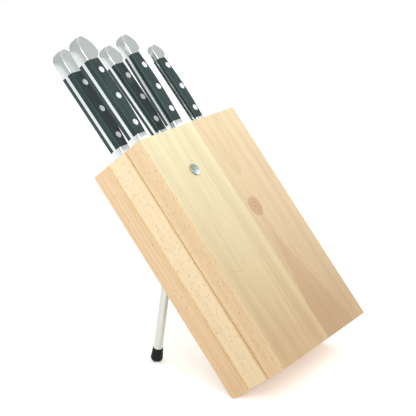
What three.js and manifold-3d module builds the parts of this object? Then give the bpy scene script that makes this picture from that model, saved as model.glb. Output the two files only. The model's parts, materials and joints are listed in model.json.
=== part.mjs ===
// Slanted beech knife block with five riveted kitchen knives and a prop leg.
// Millimetres, +Z up. The pieces are placed in the block's own frame: x across its width,
// y through its thickness from the front face to the back, z along its length from the
// bottom end to the slotted top end. The whole frame is then leaned back onto its leg.

import * as THREE from 'three';
import { mergeVertices } from 'three/addons/utils/BufferGeometryUtils.js';
import Module from 'manifold-3d';

const wasm = await Module();
wasm.setup();

// Block

const blockWidth = 185;
const blockThickness = 80;
const blockLength = 280;
const leanDeg = 35.7;
const frontBoardThickness = 24.2;
const middleBoardThickness = 25.6;
const lathThickness = 2.8;
const staveJoint = 98.6;
const glueGap = 0.15;
const restBevelDrop = 1.9;
const arrisChamfer = 0.8;
const jointChamfer = 0.3;

// Slots between the laths

const bladeSideClearance = 1.4;

// Dowels that line the boards up

const dowelRadius = 4;
const dowelReach = 12;
const dowelClearance = 0.2;
const dowelSpots = [[72, 50], [174, 245]];

// Prop leg and its lock screw

const legAcross = 53.7;
const legRadius = 5;
const legAngleDeg = 42;
const legExitHeight = 178;
const legEndDepth = 30.5;
const legBoreClearance = 0.05;
const footWall = 2;
const footLip = 0.8;
const footLength = 16.5;
const footBase = 4.5;
const footWornFlat = 0.5;
const footBoreClearance = 0.1;
const screwHeight = 228.1;
const screwRadius = 3;
const screwClearance = 0.1;
const screwTipGap = 0.4;
const headRadius = 6.7;
const headThickness = 2.0;
const headGap = 0.25;
const insertWall = 1.9;
const insertLength = 11.5;
const insertClearance = 0.1;

// Knives

const slotTopGap = 0.3;
const scaleGap = 0.15;
const rivetRadius = 3.75;
const rivetShankRadius = 2.5;
const rivetHeadDepth = 2.4;
const rivetClearance = 0.15;
const bladeEdgeHalf = 0.25;

// spineTop, spineFoot: where the handle's back lies across the block, at the pommel and the
// bolster; widths: handle width at the bolster, the middle and the pommel; half: half the
// handle's thickness; crown: how far the back bulges; scaleFoot, scaleTop and the rivets'
// second number: heights above the block's top end; beak: how far the pommel overhangs the
// belly; bladeLength: length below the block's top end.

const knives = [
  {
    name: 'bread', row: 'rear', spineTop: 20.0, spineFoot: 23.4, widths: [17.2, 21.4, 20.4],
    half: 8.1, crown: 1.2, tangHalf: 2.0, scaleFoot: 13.2, scaleTop: 109.2, pommel: 29.9,
    beak: 6.8, rivets: [[34.2, 26.8], [34.4, 60.8], [33.8, 95.2]],
    bladeLength: 240, bladeWidth: 22, spineHalf: 1.0, outline: 'round',
  },
  {
    name: 'carving', row: 'front', spineTop: 20.2, spineFoot: 24.8, widths: [16.5, 20.6, 20.2],
    half: 8.2, crown: 1.1, tangHalf: 2.0, scaleFoot: 12.2, scaleTop: 107.4, pommel: 29.7,
    beak: 6.8, rivets: [[34.2, 25.4], [34.2, 59.7], [33.0, 93.4]],
    bladeLength: 230, bladeWidth: 22, spineHalf: 1.0, outline: 'swept',
  },
  {
    name: 'chef', row: 'rear', spineTop: 97.2, spineFoot: 102.2, widths: [15.6, 19.4, 19.2],
    half: 7.2, crown: 1.5, tangHalf: 1.7, scaleFoot: 16.0, scaleTop: 106.2, pommel: 24.8,
    beak: 4.3, rivets: [[110.3, 30.4], [111.2, 60.1], [109.6, 89.6]],
    bladeLength: 210, bladeWidth: 44, spineHalf: 1.1, outline: 'chef',
  },
  {
    name: 'utility', row: 'front', spineTop: 96.7, spineFoot: 95.2, widths: [17.6, 19.6, 16.4],
    half: 7.0, crown: 1.5, tangHalf: 1.65, scaleFoot: 12.8, scaleTop: 102.2, pommel: 25.2,
    beak: 6.4, rivets: [[106.6, 27.6], [108.2, 56.9], [107.6, 86.0]],
    bladeLength: 150, bladeWidth: 22, spineHalf: 0.9, outline: 'swept',
  },
  {
    name: 'paring', row: 'front', spineTop: 139.6, spineFoot: 141.6, widths: [13.6, 16.6, 14.4],
    half: 4.7, crown: 0.8, tangHalf: 1.1, scaleFoot: 8.8, scaleTop: 89.0, pommel: 18.7,
    beak: 4.4, rivets: [[150.6, 20.4], [151.4, 49.8], [150.0, 78.7]],
    bladeLength: 98, bladeWidth: 18, spineHalf: 0.8, outline: 'swept',
  },
];

// The same knives with their heights measured from the block's bottom end.
const placedKnives = knives.map((knife) => ({
  ...knife,
  scaleFoot: blockLength + knife.scaleFoot,
  scaleTop: blockLength + knife.scaleTop,
  rivets: knife.rivets.map(([x, z]) => [x, blockLength + z]),
}));

// Derived places

const footRadius = legRadius + footWall;
const footNeckRadius = legRadius + footLip;
const insertRadius = screwRadius + screwClearance + insertWall;

const lean = THREE.MathUtils.degToRad(leanDeg);
const legAngle = THREE.MathUtils.degToRad(legAngleDeg);
const frontLathStart = frontBoardThickness;
const middleStart = frontLathStart + lathThickness;
const rearLathStart = middleStart + middleBoardThickness;
const rearStart = rearLathStart + lathThickness;
const rowDepth = {
  front: frontLathStart + lathThickness / 2,
  rear: rearLathStart + lathThickness / 2,
};
const legDirection = new THREE.Vector3(0, Math.cos(legAngle), -Math.sin(legAngle));
const legExit = new THREE.Vector3(legAcross, blockThickness, legExitHeight);
const tableUp = new THREE.Vector3(0, -Math.sin(lean), Math.cos(lean));
const tableLevel = -blockThickness * Math.sin(lean) + restBevelDrop;

// Finishes

const finishes = {
  beech_front: { color: 0xf0d9ad, roughness: 0.5, metalness: 0 },
  beech_side: { color: 0xe9caa0, roughness: 0.55, metalness: 0 },
  satin_steel: { color: 0xc9ccd0, roughness: 0.3, metalness: 1 },
  handle_black: { color: 0x10130f, roughness: 0.16, metalness: 0 },
  rivet_steel: { color: 0xe6eaec, roughness: 0.18, metalness: 1 },
  rubber_black: { color: 0x1a1a1b, roughness: 0.8, metalness: 0 },
  insert_brass: { color: 0xc9a75a, roughness: 0.35, metalness: 1 },
};

// Solids

function toManifold(geometry) {
  const bare = geometry.clone();
  for (const name of Object.keys(bare.attributes)) {
    if (name !== 'position') {
      bare.deleteAttribute(name);
    }
  }
  const welded = mergeVertices(bare, 1e-4);
  const mesh = new wasm.Mesh({
    numProp: 3,
    vertProperties: new Float32Array(welded.attributes.position.array),
    triVerts: new Uint32Array(welded.index.array),
  });
  return new wasm.Manifold(mesh);
}

function toGeometry(solid) {
  const mesh = solid.getMesh();
  const geometry = new THREE.BufferGeometry();
  const points = new Float32Array(mesh.vertProperties);
  geometry.setAttribute('position', new THREE.BufferAttribute(points, 3));
  geometry.setIndex(new THREE.BufferAttribute(new Uint32Array(mesh.triVerts), 1));
  geometry.computeVertexNormals();
  return geometry;
}

function box(low, high) {
  const size = high.map((value, axis) => value - low[axis]);
  const geometry = new THREE.BoxGeometry(size[0], size[1], size[2]);
  geometry.translate(
    (low[0] + high[0]) / 2,
    (low[1] + high[1]) / 2,
    (low[2] + high[2]) / 2,
  );
  return toManifold(geometry);
}

// A closed outline across and along the block, extruded through its thickness.
function plate(outline, near, far) {
  const shape = new THREE.Shape(outline.map(([x, z]) => new THREE.Vector2(x, z)));
  const geometry = new THREE.ExtrudeGeometry(shape, { depth: far - near, bevelEnabled: false });
  geometry.rotateX(Math.PI / 2);
  geometry.translate(0, far, 0);
  return toManifold(geometry);
}

// A round piece turned from a profile of [radius, distance along the axis] points.
function turned(profile, origin, direction, segments) {
  const points = profile.map(([radius, along]) => new THREE.Vector2(radius, along));
  const geometry = new THREE.LatheGeometry(points, segments);
  const up = new THREE.Vector3(0, 1, 0);
  geometry.applyQuaternion(new THREE.Quaternion().setFromUnitVectors(up, direction));
  geometry.translate(origin.x, origin.y, origin.z);
  return toManifold(geometry);
}

function rod(radius, origin, direction, start, end, segments = 24) {
  const profile = [[0, start], [radius, start], [radius, end], [0, end]];
  return turned(profile, origin, direction, segments);
}

// A solid skinned over rings of points that all have the same count.
function loft(rings) {
  const count = rings[0].length;
  const vertices = rings.flat();
  const triangles = [];
  for (let ring = 0; ring + 1 < rings.length; ring += 1) {
    for (let i = 0; i < count; i += 1) {
      const a = ring * count + i;
      const b = ring * count + ((i + 1) % count);
      triangles.push(a, b, b + count, a, b + count, a + count);
    }
  }
  const last = (rings.length - 1) * count;
  for (let i = 1; i + 1 < count; i += 1) {
    triangles.push(0, i + 1, i);
    triangles.push(last, last + i, last + i + 1);
  }
  const geometry = new THREE.BufferGeometry();
  geometry.setAttribute('position', new THREE.Float32BufferAttribute(vertices.flat(), 3));
  geometry.setIndex(triangles);
  return toManifold(geometry);
}

function piece(name, solid, finish) {
  const look = finishes[finish];
  const material = new THREE.MeshStandardMaterial(look);
  material.name = finish;
  const mesh = new THREE.Mesh(toGeometry(solid), material);
  mesh.name = name;
  return mesh;
}

// Fastener and leg shapes that also cut their own holes

const across = new THREE.Vector3(0, 1, 0);
const screwAxis = new THREE.Vector3(legAcross, 0, screwHeight);

// Distance along the leg from its exit to its inner end, and to the foot's underside.
function legInnerEnd() {
  return (legEndDepth - blockThickness) / legDirection.y;
}

// The rubber foot's outline: radius, and height above its own lowest point.
const footProfile = [
  [footNeckRadius, footLength], [footNeckRadius + 0.5, footLength - 0.6],
  [footRadius - 0.4, footLength * 0.55], [footRadius, footBase + 0.5],
  [footRadius - 0.3, footBase - 1.5], [footRadius - 1.5, 1.3], [footRadius - 3.4, 0.4], [0, 0],
];

function footEnd() {
  const exitHeight = legExit.dot(tableUp) - tableLevel;
  const fall = -legDirection.dot(tableUp);
  const spread = Math.sqrt(1 - fall * fall);
  const lowest = Math.max(...footProfile.map(([radius, above]) => radius * spread - above * fall));
  return (exitHeight + footWornFlat - lowest) / fall;
}

function legBore() {
  const radius = legRadius + legBoreClearance;
  return rod(radius, legExit, legDirection, legInnerEnd() - 1, 30, 32);
}

// How deep the screw may reach before its edge meets the leg's slanted inner end.
function screwReach() {
  const end = legExit.clone().addScaledVector(legDirection, legInnerEnd());
  const lowEdge = screwHeight - screwRadius;
  return end.y - ((lowEdge - end.z) * legDirection.z) / legDirection.y;
}

function screwBore() {
  return rod(screwRadius + screwClearance, screwAxis, across, -5, screwReach());
}

function dowelBores(joint) {
  return dowelSpots.map(([x, z]) => {
    const origin = new THREE.Vector3(x, joint + lathThickness / 2, z);
    const reach = dowelReach + 0.5;
    return rod(dowelRadius + dowelClearance, origin, across, -reach, reach, 20);
  });
}

// Block pieces

// A board from left to right across the block and near to far through it. Its long arrises
// are chamfered by nearBreak on its near face and farBreak on its far face.
function chamferedSlab([left, right], [near, far], [nearBreak, farBreak]) {
  const a = nearBreak;
  const b = farBreak;
  const section = [
    [left + a, near], [right - a, near], [right, near + a],
    [right, far - b], [right - b, far], [left + b, far], [left, far - b], [left, near + a],
  ];
  const ring = (z) => section.map(([x, y]) => [x, y, z]);
  return loft([ring(0), ring(blockLength)]);
}

function board(span, depth, breaks, cutters) {
  let solid = chamferedSlab(span, depth, breaks);
  for (const cutter of cutters) {
    solid = solid.subtract(cutter);
  }
  return solid;
}

function restCut() {
  const reach = 20;
  const drop = restBevelDrop;
  const across0 = -1;
  const across1 = blockWidth + 1;
  const alongBack = drop / Math.sin(lean);
  const alongEnd = drop / Math.cos(lean);
  const y0 = blockThickness - alongBack;
  const slope = alongEnd / alongBack;
  const section = [
    [y0 - reach, -reach * slope],
    [blockThickness + reach, alongEnd + reach * slope],
    [blockThickness + reach, -reach * 2],
    [y0 - reach, -reach * 2],
  ];
  const ring = (x) => section.map(([y, z]) => [x, y, z]);
  return loft([ring(across1), ring(across0)]);
}

function bladeSpan(knife) {
  const start = knife.spineFoot - bladeSideClearance;
  const end = knife.spineFoot + knife.bladeWidth + bladeSideClearance;
  return [start, end];
}

// The solid laths that fill a joint between its slots.
function lathSpans(row) {
  const slots = placedKnives.filter((knife) => knife.row === row).map(bladeSpan);
  slots.sort((a, b) => a[0] - b[0]);
  const edges = [jointChamfer, ...slots.flat(), blockWidth - jointChamfer];
  const spans = [];
  for (let i = 0; i + 1 < edges.length; i += 2) {
    spans.push([edges[i], edges[i + 1]]);
  }
  return spans;
}

function addLaths(parent, row, near, cutters) {
  lathSpans(row).forEach(([start, end], index) => {
    let solid = box(
      [start, near + glueGap, 0],
      [end, near + lathThickness - glueGap, blockLength],
    );
    for (const cutter of cutters) {
      solid = solid.subtract(cutter);
    }
    parent.add(piece(`lath_${row}_${index + 1}`, solid, 'beech_side'));
  });
}

function buildBlock() {
  const block = new THREE.Group();
  block.name = 'block';
  const leg = legBore();
  const screw = screwBore();
  const frontDowels = dowelBores(frontLathStart);
  const rearDowels = dowelBores(rearLathStart);
  const insertStart = frontBoardThickness - insertLength;
  const insertPocket = rod(
    insertRadius + insertClearance, screwAxis, across, insertStart, frontBoardThickness + 1,
  );
  const whole = [0, blockWidth];
  const frontDepth = [0, frontBoardThickness];
  const frontCuts = [screw, insertPocket, ...frontDowels];
  const leftStave = [0, staveJoint - glueGap / 2];
  const rightStave = [staveJoint + glueGap / 2, blockWidth];
  const left = board(leftStave, frontDepth, [jointChamfer, jointChamfer], frontCuts);
  const right = board(rightStave, frontDepth, [jointChamfer, jointChamfer], frontCuts);
  const middle = board(
    whole, [middleStart, rearLathStart], [jointChamfer, jointChamfer],
    [leg, screw, ...frontDowels, ...rearDowels],
  );
  const rear = board(
    whole, [rearStart, blockThickness], [jointChamfer, arrisChamfer],
    [leg, ...rearDowels, restCut()],
  );
  block.add(piece('board_front_left', left, 'beech_front'));
  block.add(piece('board_front_right', right, 'beech_front'));
  block.add(piece('board_middle', middle, 'beech_side'));
  block.add(piece('board_rear', rear, 'beech_side'));
  addLaths(block, 'front', frontLathStart, [leg, screw, ...frontDowels]);
  addLaths(block, 'rear', rearLathStart, [leg, ...rearDowels]);
  [['front', frontLathStart], ['rear', rearLathStart]].forEach(([row, joint]) => {
    dowelSpots.forEach(([x, z], index) => {
      const origin = new THREE.Vector3(x, joint + lathThickness / 2, z);
      const solid = rod(dowelRadius, origin, across, -dowelReach, dowelReach, 20);
      block.add(piece(`dowel_${row}_${index + 1}`, solid, 'beech_side'));
    });
  });
  const insert = rod(
    insertRadius, screwAxis, across, insertStart + 0.2, frontBoardThickness - 0.1,
  ).subtract(screw);
  block.add(piece('screw_insert', insert, 'insert_brass'));
  return block;
}

function buildScrew() {
  const tip = screwReach() - screwTipGap;
  const back = -headGap;
  const front = back - headThickness;
  const profile = [
    [0, front - 0.35], [2.4, front - 0.27], [4.4, front], [headRadius - 0.7, front + 0.35],
    [headRadius, front + 1.0], [headRadius, back], [screwRadius, back],
    [screwRadius, tip - 0.5], [screwRadius - 0.5, tip], [0, tip],
  ];
  const solid = turned(profile, screwAxis, across, 32);
  return piece('lock_screw', solid, 'satin_steel');
}

function buildLeg() {
  const leg = new THREE.Group();
  leg.name = 'leg';
  const start = legInnerEnd() + 0.3;
  const end = footEnd();
  const seat = end - footBase;
  const rodSolid = rod(legRadius, legExit, legDirection, start, seat, 28);
  leg.add(piece('leg_rod', rodSolid, 'satin_steel'));
  const top = end - footLength;
  const profile = footProfile.map(([radius, above]) => [radius, end - above]);
  const cap = turned([[0, top], ...profile], legExit, legDirection, 24);
  const bore = rod(legRadius + footBoreClearance, legExit, legDirection, top - 1, seat + 0.2);
  const table = box([-50, -500, -400], [blockWidth + 50, 500, 0]);
  const lift = tableUp.clone().multiplyScalar(tableLevel);
  const floor = table.rotate([leanDeg, 0, 0]).translate([lift.x, lift.y, lift.z]);
  leg.add(piece('foot_cap', cap.subtract(bore).subtract(floor), 'rubber_black'));
  return leg;
}

// Knives

function spineAt(knife, z) {
  const share = (z - knife.scaleFoot) / (knife.scaleTop - knife.scaleFoot);
  return knife.spineFoot + (knife.spineTop - knife.spineFoot) * share;
}

function widthAt(knife, z) {
  const share = (z - knife.scaleFoot) / (knife.scaleTop - knife.scaleFoot);
  const [foot, middle, top] = knife.widths;
  if (share < 0.5) {
    return foot + (middle - foot) * Math.sin(Math.PI * Math.max(share, 0));
  }
  return top + (middle - top) * Math.sin(Math.PI * Math.min(share, 1));
}

// The handle's outline across the block at one height: crowned back, softly rounded belly.
function handleRing(knife, z, half, widen = 0) {
  const spine = spineAt(knife, z);
  const belly = spine + widthAt(knife, z) + widen;
  const depth = rowDepth[knife.row];
  const steps = [-1, -0.75, -0.4, 0, 0.4, 0.75, 1];
  const back = steps.map((s) => [spine + knife.crown * s * s, depth + s * half, z]);
  const front = steps.map((s) => [belly - knife.crown * s * s, depth + s * half, z]);
  return [...front, ...back.reverse()];
}

function handleBody(knife) {
  const count = 6;
  const rings = [];
  for (let i = 0; i <= count; i += 1) {
    const z = knife.scaleFoot + ((knife.scaleTop - knife.scaleFoot) * i) / count;
    rings.push(handleRing(knife, z, knife.half));
  }
  return loft(rings);
}

function rivetSpots(knife) {
  return knife.rivets.map(([x, z]) => new THREE.Vector3(x, rowDepth[knife.row], z));
}

function rivetProfile(half, gap, overrun) {
  const head = rivetRadius + gap;
  const shank = rivetShankRadius + gap;
  const step = half - rivetHeadDepth - gap;
  const end = half + overrun;
  return [[0, -end], [head, -end], [head, -step], [shank, -step], [shank, step],
    [head, step], [head, end], [0, end]];
}

// Outline of the pommel as shares of its own width and height, from the back round to
// the beak that hangs over the belly.
const pommelOutline = [
  [0, 0.25], [0.01, 0.48], [0.045, 0.66], [0.11, 0.79], [0.23, 0.925], [0.33, 0.985],
  [0.43, 1], [0.54, 0.975], [0.66, 0.905], [0.79, 0.785], [0.89, 0.655], [0.955, 0.505],
  [0.99, 0.385], [1, 0.29], [0.975, 0.19],
];

function pommelBody(knife) {
  const spine = spineAt(knife, knife.scaleTop);
  const width = widthAt(knife, knife.scaleTop);
  const reach = width + knife.beak;
  const base = knife.scaleTop + scaleGap;
  const outline = pommelOutline.map(([x, z]) => [spine + reach * x, base + knife.pommel * z]);
  const depth = rowDepth[knife.row];
  const profile = plate(
    [[spine, base], ...outline, [spine + width, base]], depth - knife.half - 1,
    depth + knife.half + 1,
  );
  const top = base + knife.pommel + 1;
  const lower = handleRing(knife, knife.scaleTop, knife.half, knife.beak + knife.crown);
  const section = [base - 1, top].map((z) => lower.map(([x, y]) => [x, y, z]));
  return profile.intersect(loft(section));
}

function bladeOutline(knife) {
  const top = blockLength + slotTopGap + 2;
  const spine = knife.spineFoot;
  const edge = spine + knife.bladeWidth;
  const tip = blockLength - knife.bladeLength;
  const heel = blockLength - 1;
  const at = (x, z) => [spine + knife.bladeWidth * x, tip + knife.bladeLength * z];
  const neck = spine + Math.min(knife.bladeWidth, knife.widths[0]) - 2;
  const head = [[spine, top], [neck, top], [neck, heel], [edge, heel]];
  if (knife.outline === 'round') {
    return [...head, at(1, 0.06), at(0.9, 0.025), at(0.65, 0.004), at(0.4, 0),
      at(0.15, 0.02), at(0, 0.06)];
  }
  if (knife.outline === 'chef') {
    return [...head, at(0.97, 0.7), at(0.88, 0.45), at(0.72, 0.25), at(0.5, 0.11),
      at(0.25, 0.02), at(0.12, 0), at(0.04, 0.1), at(0, 0.35)];
  }
  return [...head, at(0.98, 0.5), at(0.86, 0.22), at(0.6, 0.08), at(0.28, 0.008),
    at(0.15, 0), at(0.04, 0.1), at(0, 0.3)];
}

function bladeBody(knife) {
  const depth = rowDepth[knife.row];
  const profile = plate(bladeOutline(knife), depth - 5, depth + 5);
  const spine = knife.spineFoot;
  const edge = spine + knife.bladeWidth;
  const wedge = [
    [spine, depth - knife.spineHalf], [edge, depth - bladeEdgeHalf],
    [edge, depth + bladeEdgeHalf], [spine, depth + knife.spineHalf],
  ];
  const low = blockLength - knife.bladeLength - 1;
  const high = blockLength + slotTopGap + 2;
  return profile.intersect(loft([low, high].map((z) => wedge.map(([x, y]) => [x, y, z]))));
}

function bolsterBody(knife) {
  const low = blockLength + slotTopGap;
  const high = knife.scaleFoot - scaleGap;
  const rings = [
    [low, 0.8], [low + (high - low) * 0.5, 0.95], [high, 1],
  ].map(([z, share]) => {
    const ring = handleRing(knife, knife.scaleFoot, knife.half * share);
    return ring.map(([x, y]) => [x, y, z]);
  });
  return loft(rings);
}

function tangBody(knife) {
  const depth = rowDepth[knife.row];
  const slab = box(
    [-50, depth - knife.tangHalf, knife.scaleFoot - 5],
    [blockWidth + 50, depth + knife.tangHalf, knife.scaleTop + 5],
  );
  const ends = [
    knife.scaleFoot - scaleGap * 2, knife.scaleTop + scaleGap * 2,
  ];
  const rings = [handleRing(knife, knife.scaleFoot, knife.half).map(([x, y]) => [x, y, ends[0]])];
  for (let i = 0; i <= 6; i += 1) {
    const z = knife.scaleFoot + ((knife.scaleTop - knife.scaleFoot) * i) / 6;
    rings.push(handleRing(knife, z, knife.half));
  }
  rings.push(handleRing(knife, knife.scaleTop, knife.half).map(([x, y]) => [x, y, ends[1]]));
  return loft(rings).intersect(slab);
}

function buildKnife(knife) {
  const group = new THREE.Group();
  group.name = knife.name;
  const depth = rowDepth[knife.row];
  const holes = rivetSpots(knife).map((spot) => (
    turned(rivetProfile(knife.half, rivetClearance, 1), spot, across, 20)
  ));
  let steel = bladeBody(knife).add(bolsterBody(knife)).add(tangBody(knife));
  steel = steel.add(pommelBody(knife));
  let handle = handleBody(knife);
  for (const hole of holes) {
    steel = steel.subtract(hole);
    handle = handle.subtract(hole);
  }
  group.add(piece(`${knife.name}_steel`, steel, 'satin_steel'));
  const inner = knife.tangHalf + scaleGap;
  const far = knife.half + 5;
  const low = [-50, depth - far, knife.scaleFoot - 5];
  const high = [blockWidth + 50, depth + far, knife.scaleTop + 5];
  const frontHalf = box(low, [high[0], depth - inner, high[2]]);
  const rearHalf = box([low[0], depth + inner, low[2]], high);
  group.add(piece(`${knife.name}_scale_front`, handle.intersect(frontHalf), 'handle_black'));
  group.add(piece(`${knife.name}_scale_rear`, handle.intersect(rearHalf), 'handle_black'));
  rivetSpots(knife).forEach((spot, index) => {
    const solid = turned(rivetProfile(knife.half, 0, 0), spot, across, 20);
    group.add(piece(`${knife.name}_rivet_${index + 1}`, solid, 'rivet_steel'));
  });
  return group;
}

// Assembly

const leaning = new THREE.Group();
leaning.name = 'leaning_frame';
leaning.add(buildBlock());
leaning.add(buildScrew());
leaning.add(buildLeg());
for (const knife of placedKnives) {
  leaning.add(buildKnife(knife));
}
leaning.rotation.x = -lean;

const group = new THREE.Group();
group.name = 'knife_block';
group.add(leaning);
group.updateMatrixWorld(true);

const bounds = new THREE.Box3().setFromObject(group, true);
const centre = bounds.getCenter(new THREE.Vector3());
leaning.position.set(-centre.x, -centre.y, -bounds.min.z);
group.updateMatrixWorld(true);

export default group;
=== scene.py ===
"""Slanted beech knife block with five riveted kitchen knives and a prop leg.

Everything is modelled in millimetres in the block's own frame: x across its width, y through
its thickness from the front face to the back, z along its length from the bottom end to the
slotted top end. One matrix then leans it back onto its leg, in metres.
"""
import json
import math

import bmesh
import bpy
from bpy.props import FloatProperty, FloatVectorProperty, PointerProperty
from bpy.types import Operator, Panel, PropertyGroup
from mathutils import Matrix, Vector


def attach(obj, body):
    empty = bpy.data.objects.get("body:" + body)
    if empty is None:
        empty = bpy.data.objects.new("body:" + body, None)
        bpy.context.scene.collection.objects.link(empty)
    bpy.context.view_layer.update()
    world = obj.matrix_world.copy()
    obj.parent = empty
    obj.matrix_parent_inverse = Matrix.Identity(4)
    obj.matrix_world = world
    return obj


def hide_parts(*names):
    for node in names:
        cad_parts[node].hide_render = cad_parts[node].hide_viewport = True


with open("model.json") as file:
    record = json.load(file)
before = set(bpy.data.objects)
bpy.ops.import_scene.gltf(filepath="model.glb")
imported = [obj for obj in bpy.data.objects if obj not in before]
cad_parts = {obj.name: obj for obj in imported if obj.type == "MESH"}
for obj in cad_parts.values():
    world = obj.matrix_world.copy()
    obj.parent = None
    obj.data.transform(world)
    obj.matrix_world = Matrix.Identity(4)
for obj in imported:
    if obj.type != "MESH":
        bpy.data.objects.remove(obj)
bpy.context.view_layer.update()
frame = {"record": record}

bl_info = {
    "name": "Slanted Knife Block",
    "version": (1, 0, 0),
    "blender": (4, 5, 0),
    "location": "View3D > Sidebar > Knife Block",
    "description": "Models a slanted beech knife block with its knives and prop leg",
    "category": "Add Mesh",
}

JOINTS = {joint["name"]: joint for joint in frame["record"]["behaviour"]["joints"]}
MM = 0.001

# Block, in millimetres
WIDTH = 185.0
THICKNESS = 80.0
LENGTH = 280.0
FRONT_BOARD = 24.2
MIDDLE_BOARD = 25.6
LATH = 2.8
GLUE = 0.15
STAVE_JOINT = 98.6
REST_DROP = 1.9
INWARD = Vector((0.0, 1.0, 0.0))  # from the front face to the rear face
LATH_FRONT = FRONT_BOARD
MIDDLE_START = LATH_FRONT + LATH
LATH_REAR = MIDDLE_START + MIDDLE_BOARD
REAR_START = LATH_REAR + LATH
ROW_DEPTH = {"front": LATH_FRONT + LATH / 2, "rear": LATH_REAR + LATH / 2}
SLOT_SIDE = 1.4
LATH_INSET = 0.3
LATH_EASE = 0.2
OPEN_JOINT = 0.8  # how far the front laths stand back from the front board

# How far the boards' edges are eased: at the glued faces, at the joint between the front
# staves, round the bottom end and round the top end
JOINT_EASE = 0.3
STAVE_EASE = 0.15
BOTTOM_EASE = 1.1
TOP_EASE = 0.5

# Dowels
DOWEL_RADIUS = 4.0
DOWEL_REACH = 12.0
DOWEL_PLAY = 0.2
DOWEL_SPARE = 0.5
DOWEL_TAPER = (0.8, 1.4)
DOWEL_SPOTS = ((72.0, 50.0), (174.0, 245.0))

# Prop leg and lock screw
LEG_ACROSS = 53.7
LEG_RADIUS = 5.0
LEG_ANGLE = math.radians(42.0)
LEG_EXIT = Vector((LEG_ACROSS, THICKNESS, 178.0))
LEG_AXIS = Vector((0.0, math.cos(LEG_ANGLE), -math.sin(LEG_ANGLE)))
LEG_END_DEPTH = 30.5
LEG_PLAY = 0.05
LEG_GAP = 0.3
FOOT_LENGTH = 16.5
FOOT_BASE = 4.5
FOOT_WORN = 0.5
FOOT_PLAY = 0.1
SCREW_HEIGHT = 228.1
SCREW_RADIUS = 3.0
SCREW_PLAY = 0.1
SCREW_TIP_GAP = 0.4
SCREW_HEAD_DEPTH = 2.0
SCREW_HEAD_RADIUS = 6.7
SCREW_HEAD_GAP = 0.25
INSERT_WALL = 2.0
INSERT_DEPTH = 11.3

# Where the block's frame lies in the row frame, read from the joints
ALONG = Vector(JOINTS["chef_draw"]["axis"])
THROUGH = Vector(JOINTS["lock_turn"]["axis"])
ACROSS = THROUGH.cross(ALONG)
CORNER = (
    Vector(JOINTS["lock_turn"]["pos_m"])
    - ACROSS * LEG_ACROSS * MM
    + THROUGH * SCREW_HEAD_DEPTH * MM
    - ALONG * SCREW_HEIGHT * MM
)
LEAN = math.atan2(ALONG.y, ALONG.z)
TO_ROW = Matrix.Translation(CORNER) @ Matrix.Rotation(-LEAN, 4, "X") @ Matrix.Scale(MM, 4)

# Knives. spine: where the handle's back lies across the block at the bolster and the pommel;
# widths: handle width at the bolster, the middle and the pommel; half: half the handle's
# thickness; edge: how far its long edges are rounded; foot, top: the scales' ends above the
# block's top; beak: how far the pommel overhangs the belly.
KNIVES = {
    "bread": dict(
        row="rear", spine=(23.4, 20.0), widths=(17.2, 21.4, 20.4), half=8.1, crown=1.2,
        edge=1.3, tang=2.0, foot=13.2, top=109.2, pommel=29.9, beak=6.8,
        rivets=((34.2, 26.8), (34.4, 60.8), (33.8, 95.2)),
        blade=240.0, blade_width=22.0, blade_half=1.0, outline="round",
    ),
    "carving": dict(
        row="front", spine=(24.8, 20.2), widths=(16.5, 20.6, 20.2), half=8.2, crown=1.1,
        edge=1.3, tang=2.0, foot=12.2, top=107.4, pommel=29.7, beak=6.8,
        rivets=((34.2, 25.4), (34.2, 59.7), (33.0, 93.4)),
        blade=230.0, blade_width=22.0, blade_half=1.0, outline="swept",
    ),
    "chef": dict(
        row="rear", spine=(102.2, 97.2), widths=(15.6, 19.4, 19.2), half=7.2, crown=1.5,
        edge=2.3, tang=1.7, foot=16.0, top=106.2, pommel=24.8, beak=4.3,
        rivets=((110.3, 30.4), (111.2, 60.1), (109.6, 89.6)),
        blade=210.0, blade_width=44.0, blade_half=1.1, outline="chef",
    ),
    "utility": dict(
        row="front", spine=(95.2, 96.7), widths=(17.6, 19.6, 16.4), half=7.0, crown=1.5,
        edge=2.4, tang=1.65, foot=12.8, top=102.2, pommel=25.2, beak=6.4,
        rivets=((106.6, 27.6), (108.2, 56.9), (107.6, 86.0)),
        blade=150.0, blade_width=22.0, blade_half=0.9, outline="swept",
    ),
    "paring": dict(
        row="front", spine=(141.6, 139.6), widths=(13.6, 16.6, 14.4), half=4.7, crown=0.8,
        edge=1.6, tang=1.1, foot=8.8, top=89.0, pommel=18.7, beak=4.4,
        rivets=((150.6, 20.4), (151.4, 49.8), (150.0, 78.7)),
        blade=98.0, blade_width=18.0, blade_half=0.8, outline="swept",
    ),
}
SCALE_GAP = 0.15
SLOT_TOP_GAP = 0.3
BELLY_EDGE = 0.45
DOME_RISE = 0.6  # how much the pommel's top swells in the middle
DOME_EDGE = 1.5
BEAK_EDGE = 0.9
TANG_SUNK = 2.0
TANG_HIDE = 0.08
BLADE_SUNK = 2.0
HEEL_DROP = 1.0
EDGE_HALF = 0.07
RIVET_RADIUS = 3.75
RIVET_SHANK = 2.5
RIVET_HEAD = 2.4
RIVET_PLAY = 0.12


# Colours and nodes

def linear(code):
    """An sRGB hex colour as linear red, green, blue and alpha."""
    parts = [int(code[i:i + 2], 16) / 255 for i in (1, 3, 5)]
    return tuple(
        p / 12.92 if p <= 0.04045 else ((p + 0.055) / 1.055) ** 2.4 for p in parts
    ) + (1.0,)


def feed(tree, node, inputs):
    """Sets a node's inputs by name or in order, or links them."""
    for name, value in inputs.items() if isinstance(inputs, dict) else enumerate(inputs):
        if isinstance(value, bpy.types.NodeSocket):
            tree.links.new(value, node.inputs[name])
        else:
            node.inputs[name].default_value = value


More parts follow.
